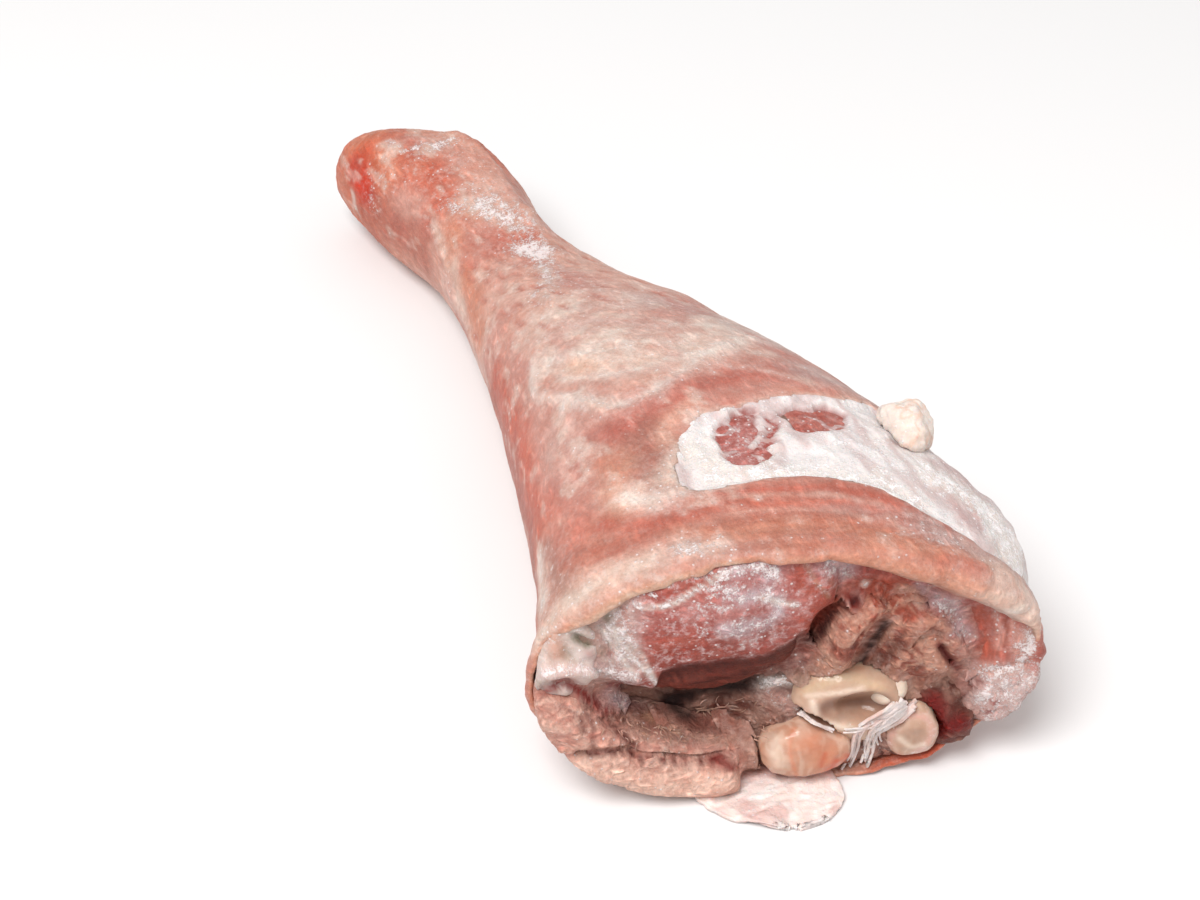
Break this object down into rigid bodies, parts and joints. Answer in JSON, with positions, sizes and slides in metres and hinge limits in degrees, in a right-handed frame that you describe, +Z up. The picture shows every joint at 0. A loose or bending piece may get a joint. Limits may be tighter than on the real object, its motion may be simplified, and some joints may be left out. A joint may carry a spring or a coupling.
{
  "type": "raw turkey leg",
  "caption": "Raw turkey drumstick lying on its side, with torn skin, muscles, shin bone and cartilage showing at the oblique knee cut and a cut ankle end",
  "frame": {"origin": "bottom centre of the bounding box, on the surface that the leg lies on", "axes": "+X towards the thick knee cut, along the leg's length; +Z up; -X towards the ankle end"},
  "size_m": [0.2366, 0.0954, 0.0603],
  "materials": {
    "skin": "moist raw poultry skin, pink to peach",
    "fascia": "thin whitish membrane with frost",
    "fat": "matte white fat with frost",
    "meat": "moist dark red lean meat",
    "dry_meat": "dull brown-red fibrous meat",
    "bone": "creamy bone, porous and reddish at the ankle end",
    "cartilage": "smooth wet cartilage, slightly translucent"
  },
  "bodies": {
    "root": {"skin": "skin", "fascia": "fascia", "fat_lump": "fat", "side_fat": "fat", "calf_muscle": "meat", "outer_muscle": "meat", "fold_muscle_inner": "dry_meat", "fold_muscle_outer": "dry_meat", "under_muscle": "dry_meat", "deep_muscle": "dry_meat", "shin_bone": "bone", "fibula": "bone", "knee_cartilage": "cartilage", "small_cartilage": "cartilage"}
  },
  "joints": []
}
